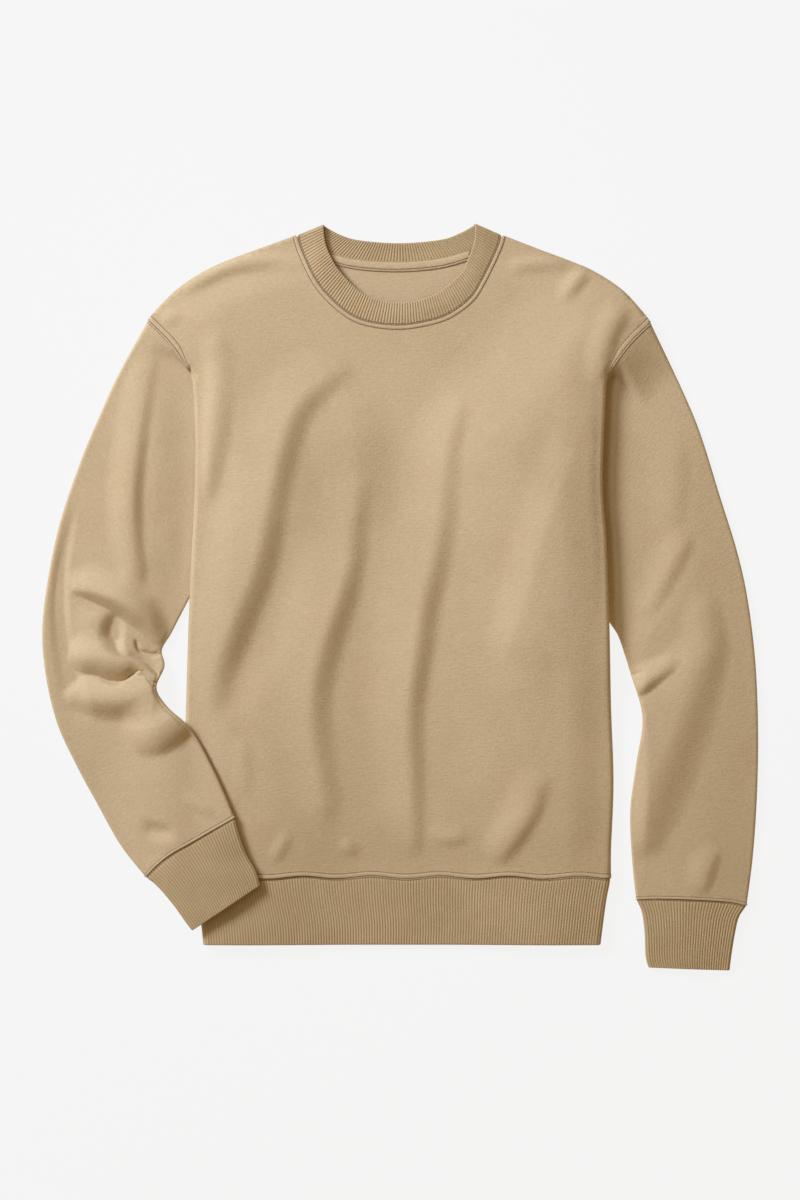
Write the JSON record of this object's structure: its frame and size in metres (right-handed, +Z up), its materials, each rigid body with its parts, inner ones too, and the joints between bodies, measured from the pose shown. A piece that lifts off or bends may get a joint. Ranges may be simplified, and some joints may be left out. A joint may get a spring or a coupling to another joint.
{
  "type": "crewneck sweatshirt",
  "caption": "Plain long-sleeved crewneck sweatshirt lying flat, with ribbed neckband, cuffs and hem, its sides turned under and one forearm laid across the hem.",
  "frame": {"origin": "middle of the garment's box, on the surface that it lies on", "axes": "+Y towards the neck, +Z up away from the surface, +X towards the wearer's left sleeve"},
  "size_m": [0.716, 0.7474, 0.025],
  "materials": {
    "fleece": "matt tan cotton fleece, smooth jersey face with a slight nap",
    "rib": "matt tan cotton one-by-one rib knit"
  },
  "bodies": {
    "root": {"front": "fleece", "back": "fleece", "sleeve_right": "fleece", "sleeve_left": "fleece", "neck_rib": "rib", "neck_tape": "fleece", "hem_rib": "rib", "cuff_right": "rib", "cuff_left": "rib"}
  },
  "joints": []
}
